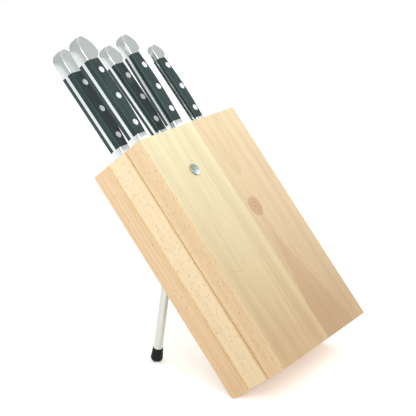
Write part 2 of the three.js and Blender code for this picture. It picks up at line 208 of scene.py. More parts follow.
def add(tree, kind, inputs=(), output=0, stops=(), **settings):
    """Adds a node, sets its properties, feeds its inputs, and gives one output.

    A colour Mix takes its factor and its two colours at 0, 6 and 7, and gives output 2.
    """
    made = tree.nodes.new("ShaderNode" + kind)
    for name, value in settings.items():
        setattr(made, name, value)
    feed(tree, made, inputs)
    for index, (position, shade) in enumerate(stops):
        ramp = made.color_ramp.elements
        stop = ramp[index] if index < 2 else ramp.new(position)
        stop.position = position
        stop.color = shade if isinstance(shade, tuple) else (shade, shade, shade, 1.0)
    return made.outputs[output]


def new_material(name):
    """An empty node material with its Principled BSDF."""
    material = bpy.data.materials.new(name)
    material.use_nodes = True
    tree = material.node_tree
    return material, tree, tree.nodes["Principled BSDF"]


def block_frame(tree):
    """Where a point lies in the block's frame, in millimetres, and which way it faces."""
    at = add(tree, "Mapping", {
        "Vector": add(tree, "TexCoord", output="Object"),
        "Location": Matrix.Rotation(LEAN, 3, "X") @ (CORNER / -MM),
        "Rotation": (LEAN, 0, 0), "Scale": (1 / MM,) * 3,
    })
    facing = add(tree, "Mapping", {
        "Vector": add(tree, "TexCoord", output="Normal"), "Rotation": (LEAN, 0, 0),
    })
    return at, facing


# Wood

# Each board: the pale and dark tones of its front and of its sawn sides, how much paler its front
# is painted at the top (painted light: together with the front's darker tones this paints in the
# key light's glare and its falloff down the block), the ring centre (x, depth) and the ring
# spacing in mm, how strongly the rings show, how far they wander sideways and in depth in mm, and
# the share of ray flecks that show on its sides.
WOODS = {
    "left_stave": dict(
        front=("#B3976B", "#A4875D"), side=("#CBB089", "#BB9C74"), top=(1.66, 2.2, 3.0),
        pith=(48.0, 44.0), ring=4.2, rings=0.5, wander=(9.0, 11.0), flecks=0.6),
    "right_stave": dict(
        front=("#AE9068", "#9A7D56"), side=("#CBB089", "#BB9C74"), top=(1.78, 2.15, 2.75),
        pith=(176.0, 90.0), ring=7.0, rings=0.3, wander=(12.0, 9.0), flecks=0.6),
    "middle_board": dict(
        front=("#D5B98D", "#CAAA7A"), side=("#D3BD98", "#C8AF86"), top=(1.1, 1.15, 1.2),
        pith=(90.0, 40.0), ring=9.0, rings=0.25, wander=(14.0, 20.0), flecks=0.22),
    "rear_board": dict(
        front=("#D5B88F", "#C29D70"), side=("#CDB18A", "#BC996E"), top=(1.1, 1.15, 1.2),
        pith=(92.0, -40.0), ring=4.4, rings=0.7, wander=(6.0, 5.0), flecks=0.03),
    "laths": dict(
        front=("#D2AE7C", "#BD935F"), side=("#D5B687", "#C29D6D"), top=(1.1, 1.15, 1.2),
        pith=(90.0, -300.0), ring=2.6, rings=0.7, wander=(6.0, 3.0), flecks=0.1),
}


def beech(name, board, figure=None):
    """Oiled European beech, sawn, planed and sanded.

    The eye sees a cream to tan ground, faint growth rings that run along the board, very fine
    fibres, short brown ray flecks on the sawn sides, and browner end grain with tiny pores.
    """
    material, tree, shader = new_material(name)
    at, facing = block_frame(tree)
    side, end = (
        add(tree, "MapRange", {
            "Value": add(tree, "Math", (add(tree, "SeparateXYZ", (facing,), axis),),
                         operation="ABSOLUTE"),
            "From Min": 0.55, "From Max": 0.8})
        for axis in "XZ")
    pale, dark = (
        add(tree, "Mix", {0: side, 6: linear(front), 7: linear(sawn)}, 2, data_type="RGBA")
        for front, sawn in zip(board["front"], board["side"]))

    # Noises by their size in mm: how the rings sway, where they show, broad bands, fibres and
    # end-grain pores. Fibres and pores are under half a millimetre wide, drawn wider to show.
    sway, patches, bands, fibre, pores = (
        add(tree, "TexNoise", {
            "Vector": add(tree, "Mapping", {"Vector": at, "Scale": size},
                          vector_type="TEXTURE"),
            "Scale": 1.0, "Detail": detail, "Roughness": rough}, output)
        for size, detail, rough, output in (
            ((70, 70, 95), 1.5, 0.5, 1), ((22, 22, 130), 2.0, 0.5, 0),
            ((9, 9, 240), 3.0, 0.5, 0), ((1.1, 1.1, 30), 3.0, 0.6, 0),
            ((0.8, 0.8, 40), 2.0, 0.7, 0)))

    # Growth rings: the distance from a pith line that wanders along the board
    off = add(tree, "VectorMath", {
        0: sway, 1: (*board["wander"], 0.0),
        2: add(tree, "Mapping", {"Vector": at, "Location": (-board["pith"][0],
                                                           -board["pith"][1], 0.0),
                                 "Scale": (1, 1, 0)})}, operation="MULTIPLY_ADD")
    phase = add(tree, "Math", (add(tree, "Math", (
        add(tree, "VectorMath", (off,), "Value", operation="LENGTH"), board["ring"]),
        operation="DIVIDE"),), operation="FRACT")
    rings = add(tree, "ValToRGB", (phase,), stops=(
        (0.0, 0.5), (1.0, 0.5), (0.14, 0.0), (0.6, 0.28), (0.9, 1.0)))
    strength = add(tree, "MapRange", {
        "Value": patches, "From Min": 0.35, "From Max": 0.65, "To Min": board["rings"] * 0.35,
        "To Max": board["rings"]}, interpolation_type="SMOOTHSTEP")
    colour = pale
    for share in (
        add(tree, "Math", (rings, strength), operation="MULTIPLY"),
        add(tree, "MapRange", {
            "Value": bands, "From Min": 0.4, "From Max": 0.7, "To Max": 0.45}),
        add(tree, "MapRange", {
            "Value": fibre, "From Min": 0.35, "From Max": 0.75, "To Max": 0.3}),
    ):
        colour = add(tree, "Mix", {0: share, 6: colour, 7: dark}, 2, data_type="RGBA")
    if figure:
        colour = figure(tree, colour, at)

    # Painted light: paler towards the top end, most of all on the front, painting in the key
    # light's glare and its falloff down the block
    paler = add(tree, "Mix", {0: side, 6: (*board["top"], 1.0), 7: (1.28, 1.33, 1.43, 1.0)}, 2,
                data_type="RGBA")
    height = add(tree, "MapRange", {
        "Value": add(tree, "SeparateXYZ", (at,), "Z"), "From Min": 25.0, "From Max": LENGTH})
    colour = add(tree, "Mix", {0: height, 6: colour, 7: paler}, 2, data_type="RGBA",
                 blend_type="MULTIPLY")

    # Ray flecks: dashes 2 to 4 mm long, leaning a little, on the sawn sides only; about 0.4 mm
    # wide in life and drawn about twice that to show
    cells = {"Vector": add(tree, "Mapping", {
        "Vector": at, "Rotation": (math.radians(14), 0, 0), "Scale": (60.0, 1.4, 6.4)},
        vector_type="TEXTURE"), "Scale": 1.0}
    dash = add(tree, "MapRange", {
        "Value": add(tree, "TexVoronoi", cells, "Distance"), "From Min": 0.1, "From Max": 0.32,
        "To Min": 1.0, "To Max": 0.0}, interpolation_type="SMOOTHSTEP")
    shown = add(tree, "Math", (add(tree, "SeparateColor", (
        add(tree, "TexVoronoi", cells, "Color"),), "Red"), 1.0 - board["flecks"]),
        operation="GREATER_THAN")
    fleck = add(tree, "Math", (add(tree, "Math", (dash, shown), operation="MULTIPLY"), side),
                operation="MULTIPLY")
    colour = add(tree, "Mix", {
        0: add(tree, "Math", (fleck, 0.75), operation="MULTIPLY"), 6: colour,
        7: linear("#8E6A3A")}, 2, data_type="RGBA")

    # End grain: browner, the rings cut across
    cut = add(tree, "ValToRGB", (
        add(tree, "Math", (rings, 0.35, pores), operation="MULTIPLY_ADD"),), stops=(
        (0.3, linear("#D6B486")), (1.0, linear("#A47B4B")), (0.6, linear("#C49B69"))))
    colour = add(tree, "Mix", {0: end, 6: colour, 7: cut}, 2, data_type="RGBA")
    relief = add(tree, "Math", (fleck, -0.6, fibre), operation="MULTIPLY_ADD")
    feed(tree, shader, {
        "Base Color": colour, "IOR": 1.48,
        "Roughness": add(tree, "MapRange", {"Value": fibre, "To Min": 0.42, "To Max": 0.58}),
        "Normal": add(tree, "Bump", {"Height": relief, "Strength": 0.12, "Distance": 0.0002})})
    return material


def knot_figure(tree, colour, at):
    """A small pink-brown knot, the dark wedge of heartwood below it and a tongue above it."""
    stir = add(tree, "TexNoise", {
        "Vector": add(tree, "Mapping", {"Vector": at, "Scale": (9, 9, 16)},
                      vector_type="TEXTURE"), "Scale": 1.0, "Detail": 2.0}, "Color")
    at = add(tree, "VectorMath", {0: stir, 1: (5.0, 0.0, 7.0), 2: at}, operation="MULTIPLY_ADD")

    # The wedge opens downwards from its tip; a fainter one lies around it
    down = add(tree, "Mapping", {"Vector": at, "Location": (118.5, 0.0, 137.5),
                                 "Rotation": (0, math.radians(-3.2), 0), "Scale": (0.262, 1, 1)},
               vector_type="TEXTURE")
    inside = add(tree, "Math", (add(tree, "Math", (add(tree, "SeparateXYZ", (down,), "X"),),
                                    operation="ABSOLUTE"),
                                add(tree, "SeparateXYZ", (down,), "Z")), operation="ADD")
    wedge = add(tree, "ValToRGB", (add(tree, "MapRange", {
        "Value": inside, "From Min": 60.0, "From Max": -90.0}),), stops=(
        (0.0, 0.0), (1.0, 0.5), (0.2, 0.0), (0.23, 0.16), (0.33, 0.1), (0.397, 0.1), (0.43, 0.5),
        (0.55, 0.42)))

    # The tongue, rounded at its lower end, its rim the darkest
    up = add(tree, "Mapping", {"Vector": at, "Location": (126.5, 0.0, 207.0)},
             vector_type="TEXTURE")
    across = add(tree, "SeparateXYZ", (up,), "X")
    above = add(tree, "Math", (add(tree, "Math", (across, across), operation="MULTIPLY"), -0.18,
                               add(tree, "SeparateXYZ", (up,), "Z")), operation="MULTIPLY_ADD")
    tongue = add(tree, "ValToRGB", (add(tree, "MapRange", {
        "Value": above, "From Min": -10.0, "From Max": 60.0}),), stops=(
        (0.0, 0.0), (1.0, 0.0), (0.11, 0.0), (0.17, 0.36), (0.28, 0.2), (0.6, 0.14)))

    # The knot: an egg-shaped disc, a darker ring inside it and a small dark check
    away = add(tree, "VectorMath", (add(tree, "Mapping", {
        "Vector": at, "Location": (117.5, 0.0, 168.0), "Scale": (11.5, 1000, 13.5)},
        vector_type="TEXTURE"),), "Value", operation="LENGTH")
    disc = add(tree, "ValToRGB", (away,), stops=(
        (0.0, 0.95), (1.0, 0.0), (0.07, 0.9), (0.13, 0.5), (0.3, 0.36), (0.42, 0.58), (0.55, 0.4),
        (0.7, 0.5), (0.86, 0.38)))
    for share, shade in ((wedge, "#9A7349"), (tongue, "#967650"), (disc, "#85502F")):
        colour = add(tree, "Mix", {0: share, 6: colour, 7: linear(shade)}, 2, data_type="RGBA")
    return colour


def mineral_figure(tree, colour, at):
    """Soft pale and grey bands across the stave, and a faint sloping mineral line."""
    bands = add(tree, "ValToRGB", (add(tree, "MapRange", {
        "Value": add(tree, "SeparateXYZ", (at,), "X"), "From Max": STAVE_JOINT}),), stops=(
        (0.0, 0.5), (1.0, 0.45), (0.1, 0.35), (0.2, 0.5), (0.4, 0.42), (0.6, 0.52), (0.8, 0.42),
        (0.86, 0.38), (0.94, 0.68)))
    colour = add(tree, "Mix", {0: 0.35, 6: colour, 7: bands}, 2, data_type="RGBA",
                 blend_type="SOFT_LIGHT")
    line = add(tree, "Mapping", {"Vector": at, "Location": (21.0, 0, 111.2),
                                 "Rotation": (0, math.radians(12.0), 0), "Scale": (18, 1000, 1.4)},
               vector_type="TEXTURE")
    near = add(tree, "MapRange", {
        "Value": add(tree, "VectorMath", (line,), "Value", operation="LENGTH"),
        "From Min": 0.2, "From Max": 1.0, "To Min": 0.22, "To Max": 0.0},
        interpolation_type="SMOOTHSTEP")
    return add(tree, "Mix", {0: near, 6: colour, 7: linear("#77603F")}, 2, data_type="RGBA")


# Other finishes

def satin_steel(name, colour, rough, grain):
    """Stainless steel, ground and satin polished along its length.

    The eye sees a soft, bright metal whose highlights are drawn out by hairline scratches.
    grain is the scratches' size in mm across and along, drawn wide enough to show.
    """
    material, tree, shader = new_material(name)
    at, _ = block_frame(tree)
    hair = add(tree, "TexNoise", {
        "Vector": add(tree, "Mapping", {"Vector": at, "Scale": grain}, vector_type="TEXTURE"),
        "Scale": 1.0, "Detail": 3.0, "Roughness": 0.65})
    smear = add(tree, "TexNoise", {
        "Vector": add(tree, "Mapping", {"Vector": at, "Scale": (9, 9, 16)},
                      vector_type="TEXTURE"), "Scale": 1.0, "Detail": 2.0})
    tint = add(tree, "Mix", {
        0: add(tree, "MapRange", {"Value": hair, "From Min": 0.3, "From Max": 0.7,
                                  "To Max": 0.08}),
        6: linear(colour), 7: linear("#9AA09F")}, 2, data_type="RGBA")
    feed(tree, shader, {
        "Base Color": tint, "Metallic": 1.0,
        "Roughness": add(tree, "MapRange", {"Value": smear, "To Min": rough - 0.05,
                                            "To Max": rough + 0.05}),
        "Normal": add(tree, "Bump", {"Height": hair, "Strength": 0.01, "Distance": 0.0001})})
    return material


def pitted_steel():
    """Zinc-plated steel, barrelled: bright grey-green, slightly mottled and pitted."""
    material, tree, shader = new_material("zinc_plated_steel_barrelled")
    at, _ = block_frame(tree)
    mottle = add(tree, "TexNoise", {
        "Vector": add(tree, "Mapping", {"Vector": at, "Scale": (1.6, 1.6, 1.6)},
                      vector_type="TEXTURE"), "Scale": 1.0, "Detail": 3.0, "Roughness": 0.6})
    feed(tree, shader, {
        "Base Color": add(tree, "ValToRGB", (mottle,), stops=(
            (0.35, linear("#C3CDC7")), (0.7, linear("#8E9994")))),
        "Metallic": 1.0,
        "Roughness": add(tree, "MapRange", {"Value": mottle, "To Min": 0.3, "To Max": 0.52}),
        "Normal": add(tree, "Bump", {"Height": mottle, "Strength": 0.3, "Distance": 0.0003})})
    return material


def acetal_black():
    """Black acetal, moulded, ground flush and buffed: dark green-grey under a soft gloss."""
    material, tree, shader = new_material("black_acetal_buffed")
    at, _ = block_frame(tree)
    scuff = add(tree, "TexNoise", {
        "Vector": add(tree, "Mapping", {"Vector": at, "Scale": (5, 5, 40)},
                      vector_type="TEXTURE"), "Scale": 1.0, "Detail": 2.0})
    feed(tree, shader, {
        "Base Color": add(tree, "ValToRGB", (scuff,), stops=(
            (0.3, linear("#253333")), (0.7, linear("#314041")))),
        "Roughness": add(tree, "MapRange", {"Value": scuff, "To Min": 0.2, "To Max": 0.26}),
        "IOR": 1.45, "Specular Tint": linear("#CDE6DE"),
        "Normal": add(tree, "Bump", {"Height": scuff, "Strength": 0.01, "Distance": 0.0002})})
    return material


def moulded_rubber():
    """Black rubber, moulded: matt, finely grained, with paler scuffs where it meets the floor."""
    material, tree, shader = new_material("black_rubber_moulded")
    at = add(tree, "Mapping", {"Vector": add(tree, "TexCoord", output="Object"),
                               "Scale": (1 / MM,) * 3})
    grain = add(tree, "TexNoise", {"Vector": at, "Scale": 2.0, "Detail": 3.0})
    worn = add(tree, "MapRange", {
        "Value": add(tree, "Math", (add(tree, "SeparateXYZ", (at,), "Z"),
                                    add(tree, "Math", (grain, 4.0), operation="MULTIPLY")),
                     operation="ADD"),
        "From Min": 2.2, "From Max": 4.5, "To Min": 0.4, "To Max": 0.0})
    feed(tree, shader, {
        "Base Color": add(tree, "Mix", {0: worn, 6: linear("#070C0E"), 7: linear("#4A4E50")}, 2,
                          data_type="RGBA"),
        "Roughness": 0.5, "Specular IOR Level": 0.25,
        "Normal": add(tree, "Bump", {"Height": grain, "Strength": 0.2, "Distance": 0.0002})})
    return material


def turned_brass():
    """Free-cutting brass, turned: warm yellow with fine tool rings a quarter millimetre apart."""
    material, tree, shader = new_material("brass_turned")
    at, _ = block_frame(tree)
    tool = add(tree, "TexNoise", {
        "Vector": add(tree, "Mapping", {"Vector": at, "Scale": (8, 0.25, 8)},
                      vector_type="TEXTURE"), "Scale": 1.0})
    feed(tree, shader, {
        "Base Color": add(tree, "ValToRGB", (tool,), stops=(
            (0.3, linear("#C9A55A")), (0.7, linear("#A78238")))),
        "Metallic": 1.0, "Roughness": 0.34})
    return material


# Shapes

def ring_edges(bm, points):
    """A closed loop of edges through the points."""
    verts = [bm.verts.new(point) for point in points]
    return [bm.edges.new((a, b)) for a, b in zip(verts, verts[1:] + verts[:1])]


def skin(rings):
    """A closed solid skinned over rings that have the same number of points."""
    bm = bmesh.new()
    loops = [ring_edges(bm, ring) for ring in rings]
    for lower, upper in zip(loops, loops[1:]):
        bmesh.ops.bridge_loops(bm, edges=lower + upper)
    for loop in (loops[0], loops[-1]):
        bmesh.ops.contextual_create(bm, geom=loop)
    bmesh.ops.recalc_face_normals(bm, faces=bm.faces)
    return bm


def turned(profile, origin, axis, steps=48):
    """A solid of revolution from (radius, distance along the axis) points."""
    bm = bmesh.new()
    verts = [bm.verts.new((radius, 0.0, along)) for radius, along in profile]
    edges = [bm.edges.new(pair) for pair in zip(verts, verts[1:])]
    bmesh.ops.spin(
        bm, geom=verts + edges, cent=(0, 0, 0), axis=(0, 0, 1), dvec=(0, 0, 0),
        angle=math.tau, steps=steps, use_merge=True, use_normal_flip=False, use_duplicate=False,
    )
    bmesh.ops.remove_doubles(bm, verts=bm.verts, dist=1e-4)
    turn = Vector((0, 0, 1)).rotation_difference(Vector(axis)).to_matrix().to_4x4()
    bm.transform(Matrix.Translation(origin) @ turn)
    bmesh.ops.recalc_face_normals(bm, faces=bm.faces)
    return bm


def placed(name, data):
    """A new object in the scene."""
    made = bpy.data.objects.new(name, data)
    bpy.context.scene.collection.objects.link(made)
    return made


def as_object(bm, name="scratch"):
    """A new object from a bmesh, which is freed."""
    mesh = bpy.data.meshes.new(name)
    bm.to_mesh(mesh)
    bm.free()
    return placed(name, mesh)


def solved(made, *others):
    """The bmesh of a scratch object with its modifiers applied; the scratch objects go."""
    graph = bpy.context.evaluated_depsgraph_get()
    graph.update()
    mesh = bpy.data.meshes.new_from_object(made.evaluated_get(graph))
    bm = bmesh.new()
    bm.from_mesh(mesh)
    bpy.data.meshes.remove(mesh)
    for scratch in (made, *others):
        data = scratch.data
        bpy.data.objects.remove(scratch)
        bpy.data.meshes.remove(data)
    return bm


def combine(base, tools, operation):
    """A solid with tools joined to it or cut from it, as bmeshes in millimetres."""
    made = as_object(base)
    scratch = []
    for tool in tools:
        other = as_object(tool)
        modifier = made.modifiers.new("solid", "BOOLEAN")
        modifier.operation = operation
        modifier.solver = "EXACT"
        modifier.object = other
        scratch.append(other)
    return solved(made, *scratch)


def softened(bm, widths):
    """Bevels edges at once, each by the width in mm that widths(middle) gives."""
    layer = bm.edges.layers.float.new("bevel_weight_edge")
    chosen = [(edge, widths((edge.verts[0].co + edge.verts[1].co) / 2)) for edge in bm.edges]
    most = max(width for _, width in chosen)
    for edge, width in chosen:
        edge[layer] = width / most
    made = as_object(bm)
    modifier = made.modifiers.new("bevel", "BEVEL")
    modifier.limit_method = "WEIGHT"
    modifier.width = most
    modifier.segments = 3
    modifier.profile = 0.5
    return solved(made)


def cuboid(low, high):
    """A box from its lowest and highest corners."""
    bm = bmesh.new()
    bmesh.ops.create_cube(bm, size=1.0)
    low, high = Vector(low), Vector(high)
    bmesh.ops.scale(bm, vec=high - low, verts=bm.verts)
    bmesh.ops.translate(bm, vec=(low + high) / 2, verts=bm.verts)
    return bm


def finish_piece(name, bm, material, body, nodes, sharp=32.0):
    """Places a millimetre bmesh in the row frame as one piece on its body."""
    bmesh.ops.remove_doubles(bm, verts=bm.verts, dist=1e-4)
    bm.transform(TO_ROW)
    bmesh.ops.recalc_face_normals(bm, faces=bm.faces)
    piece = as_object(bm, name)
    piece.data.shade_smooth()
    piece.data.set_sharp_from_angle(angle=math.radians(sharp))
    piece.data.materials.append(material)
    shading = piece.modifiers.new("even_shading", "WEIGHTED_NORMAL")
    shading.keep_sharp = True
    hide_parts(*nodes)
    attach(piece, body)
    return piece


# Block pieces

def leg_inner_end():
    """Distance along the leg from its exit to its end inside the block."""
    return (LEG_END_DEPTH - THICKNESS) / LEG_AXIS.y


def foot_profile():
    """The foot's outline: radius, and height above its own lowest point."""
    wall = LEG_RADIUS + 2.0
    neck = LEG_RADIUS + 0.8
    return [
        (neck - 0.35, FOOT_LENGTH), (neck + 0.1, FOOT_LENGTH - 0.15),
        (neck + 0.3, FOOT_LENGTH - 0.6), (neck + 0.45, FOOT_LENGTH - 3.0),
        (wall - 0.45, FOOT_LENGTH * 0.55), (wall - 0.08, FOOT_BASE + 1.6),
        (wall, FOOT_BASE + 0.6), (wall - 0.08, FOOT_BASE - 0.4), (wall - 0.5, FOOT_BASE - 1.6),
        (wall - 1.3, 1.6), (wall - 2.2, 0.9), (wall - 3.4, 0.4), (wall - 5.0, 0.1), (0.0, 0.0),
    ]


def foot_end():
    """Distance along the leg from its exit to the foot's lowest point."""
    table_fall = -(TO_ROW.to_3x3() @ LEG_AXIS).normalized().z
    spread = math.sqrt(1 - table_fall ** 2)
    lowest = max(radius * spread - above * table_fall for radius, above in foot_profile())
    exit_height = (TO_ROW @ LEG_EXIT).z / MM
    return (exit_height + FOOT_WORN - lowest) / table_fall


def bore(radius, origin, axis, start, end, steps=32):
    """A plain cylinder to cut a hole with."""
    profile = [(0.0, start), (radius, start), (radius, end), (0.0, end)]
    return turned(profile, origin, axis, steps)


def leg_bore():
    """The oblique bore that the leg slides in, past both of its ends."""
    return bore(LEG_RADIUS + LEG_PLAY, LEG_EXIT, LEG_AXIS, leg_inner_end() - 1.0, 30.0)


def screw_axis():
    """Where the lock screw's axis meets the front face, and its direction."""
    return Vector((LEG_ACROSS, 0.0, SCREW_HEIGHT)), INWARD


def screw_reach():
    """Depth at which the lock screw's tip meets the leg."""
    end = LEG_EXIT + LEG_AXIS * leg_inner_end()
    low = SCREW_HEIGHT - SCREW_RADIUS
    return end.y - (low - end.z) * LEG_AXIS.z / LEG_AXIS.y


def screw_bore():
    """The lock screw's bore, from before the front face to its tip."""
    origin, axis = screw_axis()
    return bore(SCREW_RADIUS + SCREW_PLAY, origin, axis, -5.0, screw_reach())


def insert_pocket():
    """The pocket for the brass insert, sunk from the front board's glued face."""
    origin, axis = screw_axis()
    return bore(SCREW_RADIUS + INSERT_WALL + SCREW_PLAY, origin, axis,
                FRONT_BOARD - INSERT_DEPTH - 0.2, FRONT_BOARD + 1.0)


def dowel_bores(start):
    """A joint's dowel bores, for the row of laths that starts at this depth."""
    return [
        bore(DOWEL_RADIUS + DOWEL_PLAY, Vector((x, start + LATH / 2, z)), INWARD,
             -DOWEL_REACH - DOWEL_SPARE, DOWEL_REACH + DOWEL_SPARE, 24)
        for x, z in DOWEL_SPOTS
    ]


def cut_level(bm, on, down):
    """Cuts off what lies beyond a plane through a point, on the side that down points to."""
    bmesh.ops.bisect_plane(
        bm, geom=bm.verts[:] + bm.edges[:] + bm.faces[:], dist=1e-4, plane_co=on,
        plane_no=down, clear_outer=True,
    )
    bmesh.ops.holes_fill(bm, edges=[edge for edge in bm.edges if edge.is_boundary])


def slab(low, high, arris, joint_faces, cutters, rest=False):
    """A board with eased edges: fine at the glued faces, fuller at the open ones."""
    bm = cuboid(low, high)
    if rest:
        cut_level(bm, Vector((0.0, THICKNESS - REST_DROP / math.sin(LEAN), 0.0)),
                  Vector((0.0, math.sin(LEAN), -math.cos(LEAN))))

    def width(middle):
        near = 0.2
        if any(abs(middle.y - face) < near for face in joint_faces):
            return JOINT_EASE
        if abs(middle.x - STAVE_JOINT) < near:
            return STAVE_EASE
        if middle.z < near:
            return BOTTOM_EASE
        if middle.z > LENGTH - near:
            return TOP_EASE
        return arris

    bm = softened(bm, width)
    return combine(bm, cutters, "DIFFERENCE") if cutters else bm


def lath_spans(row):
    """Where the laths of a row start and end across the block, between the slots."""
    slots = sorted(
        (k["spine"][0] - SLOT_SIDE, k["spine"][0] + k["blade_width"] + SLOT_SIDE)
        for k in KNIVES.values() if k["row"] == row
    )
    edges = [LATH_INSET, *(edge for span in slots for edge in span), WIDTH - LATH_INSET]
    return list(zip(edges[::2], edges[1::2]))


def build_boards(settings):
    """The two front staves, the middle board and the rear board, each of its own beech."""
    arris = settings.arris / MM
    left = slab((0, 0, 0), (STAVE_JOINT - GLUE / 2, FRONT_BOARD, LENGTH), arris,
                (FRONT_BOARD,), [screw_bore(), insert_pocket(), dowel_bores(LATH_FRONT)[0]])
    right = slab((STAVE_JOINT + GLUE / 2, 0, 0), (WIDTH, FRONT_BOARD, LENGTH), arris,
                 (FRONT_BOARD,), [dowel_bores(LATH_FRONT)[1]])
    middle = slab((0, MIDDLE_START, 0), (WIDTH, LATH_REAR, LENGTH), arris,
                  (MIDDLE_START, LATH_REAR),
                  [leg_bore(), screw_bore(), *dowel_bores(LATH_FRONT), *dowel_bores(LATH_REAR)])
    rear = slab((0, REAR_START, 0), (WIDTH, THICKNESS, LENGTH), arris, (REAR_START,),
                [leg_bore(), *dowel_bores(LATH_REAR)], rest=True)
    for name, node, bm, recipe, figure, slot in (
        ("board_left_stave", "board_front_left", left, "left_stave", mineral_figure,
         "beech_front"),
        ("board_right_stave", "board_front_right", right, "right_stave", knot_figure,
         "beech_front"),
        ("board_mid", "board_middle", middle, "middle_board", None, "beech_side"),
        ("board_back", "board_rear", rear, "rear_board", None, "beech_side"),
    ):
        finish_piece(name, bm, beech(f"beech_{recipe}_oiled", WOODS[recipe], figure), "block",
                     [node])


def build_laths():
    """The thin laths of both rows, with the knives' slots between them."""
    wood = beech("beech_laths_oiled", WOODS["laths"])
    for row, start in (("front", LATH_FRONT), ("rear", LATH_REAR)):
        for index, (left, right) in enumerate(lath_spans(row), 1):
            cutters = [tool for tool, (x, _) in zip(dowel_bores(start), DOWEL_SPOTS)
                       if left < x < right]
            if left < LEG_ACROSS < right:
                cutters.append(leg_bore())
                if row == "front":
                    cutters.append(screw_bore())
            gap = GLUE + (OPEN_JOINT if row == "front" else 0.0)
            bm = cuboid((left, start + gap, 0), (right, start + LATH - GLUE, LENGTH))
            bm = softened(bm, lambda middle: LATH_EASE)
            if cutters:
                bm = combine(bm, cutters, "DIFFERENCE")
            finish_piece(f"spacer_{row}_{index}", bm, wood, "block",
                         [f"lath_{row}_{index}"])


def build_dowels():
    """Beech dowels with tapered ends."""
    wood = beech("beech_dowels_dry", WOODS["rear_board"])
    reach, radius = DOWEL_REACH, DOWEL_RADIUS
    thin, run = radius - DOWEL_TAPER[0], reach - DOWEL_TAPER[1]
    profile = [(0, -reach), (thin, -reach), (radius, -run), (radius, run), (thin, reach),
               (0, reach)]
    for row, start in (("front", LATH_FRONT), ("rear", LATH_REAR)):
        for index, (x, z) in enumerate(DOWEL_SPOTS, 1):
            bm = turned(profile, Vector((x, start + LATH / 2, z)), INWARD, 32)
            finish_piece(f"peg_{row}_{index}", bm, wood, "block",
                         [f"dowel_{row}_{index}"])


def build_leg():
    """The steel rod, and the rubber foot with a flat worn on it by the table."""
    start = leg_inner_end() + LEG_GAP
    end = foot_end()
    seat = end - FOOT_BASE
    radius = LEG_RADIUS
    profile = [(0, start), (radius - 0.6, start), (radius - 0.17, start + 0.2),
               (radius, start + 0.6), (radius, seat - 0.6), (radius - 0.6, seat), (0, seat)]
    rod = turned(profile, LEG_EXIT, LEG_AXIS, 64)
    steel = satin_steel("satin_steel_rod", "#CDD1CA", 0.3, (0.5, 0.5, 0.5))
    finish_piece("prop_rod", rod, steel, "leg", ["leg_rod"])
    top = end - FOOT_LENGTH
    hole = LEG_RADIUS + FOOT_PLAY
    outline = [(radius, end - above) for radius, above in foot_profile()]
    wall = [(0, seat + 0.2), (hole, seat + 0.2), (hole, top + 0.3), (hole + 0.25, top)]
    bm = turned(wall + outline, LEG_EXIT, LEG_AXIS, 48)
    to_block = TO_ROW.inverted()
    cut_level(bm, to_block @ Vector((0, 0, 0)),
              (to_block.to_3x3() @ Vector((0, 0, -1))).normalized())
    finish_piece("rubber_foot", bm, moulded_rubber(), "leg", ["foot_cap"])


def build_screw():
    """The lock screw with its low domed head, and the brass insert it runs in."""
    origin, axis = screw_axis()
    tip = screw_reach() - SCREW_TIP_GAP
    back = -SCREW_HEAD_GAP
    front = back - SCREW_HEAD_DEPTH
    head = SCREW_HEAD_RADIUS
    profile = [
        (0, front - 0.35), (1.6, front - 0.33), (3.2, front - 0.24), (4.6, front - 0.08),
        (head - 1.1, front + 0.1), (head - 0.5, front + 0.3), (head - 0.12, front + 0.65),
        (head, front + 1.1), (head, back - 0.15), (head - 0.15, back), (SCREW_RADIUS, back),
        (SCREW_RADIUS, tip - 0.5), (SCREW_RADIUS - 0.5, tip), (0, tip),
    ]
    finish_piece("lock_button", turned(profile, origin, axis, 64), pitted_steel(),
                 "lock_screw", ["lock_screw"])
    ends = (FRONT_BOARD - INSERT_DEPTH, FRONT_BOARD - SCREW_PLAY)
    outer, inner = SCREW_RADIUS + INSERT_WALL, SCREW_RADIUS + SCREW_PLAY
    ring = [(inner, ends[0]), (outer - 0.3, ends[0]), (outer, ends[0] + 0.3),
            (outer, ends[1] - 0.3), (outer - 0.3, ends[1]), (inner, ends[1]),
            (inner, ends[0])]
    finish_piece("thread_insert", turned(ring, origin, axis, 40), turned_brass(), "block",
                 ["screw_insert"])


# Knives

def spine_at(k, z):
    """Where the handle's back lies across the block at a height."""
    share = (z - LENGTH - k["foot"]) / (k["top"] - k["foot"])
    return k["spine"][0] + (k["spine"][1] - k["spine"][0]) * share


def width_at(k, z):
    """The handle's width at a height, widest at its middle."""
    share = (z - LENGTH - k["foot"]) / (k["top"] - k["foot"])
    foot, middle, top = k["widths"]
    if share < 0.5:
        return foot + (middle - foot) * math.sin(math.pi * max(share, 0.0))
    return top + (middle - top) * math.sin(math.pi * min(share, 1.0))


def half_section(k, z, inner, half=None, inset=0.0):
    """One side of the handle's outline, from its back to its belly, as (x, depth)."""
    half = k["half"] if half is None else half
    spine = spine_at(k, z) + inset
    belly = spine_at(k, z) + width_at(k, z) - inset
    sides = []
    for edge in (k["edge"], BELLY_EDGE):
        flat = half - edge
        rise = k["crown"] * (flat / half) ** 2
        side = []
        for i in range(4):
            y = inner + (flat - inner) * i / 3
            side.append((k["crown"] * (y / half) ** 2, y))
        for i in range(1, 5):
            turn = math.radians(22.5 * i)
            side.append((rise + edge * (1 - math.cos(turn)), flat + edge * math.sin(turn)))
        sides.append(side)
    back, front = sides
    return [(spine + x, y) for x, y in back] + [(belly - x, y) for x, y in reversed(front)]


def full_section(k, z, half=None, inset=0.0):
    """The handle's whole outline at a height, as (x, y)."""
    depth = ROW_DEPTH[k["row"]]
    one = half_section(k, z, 0.0, half, inset)
    far = [(x, depth + y) for x, y in one]
    near = [(x, depth - y) for x, y in reversed(one)][1:-1]
    return far + near


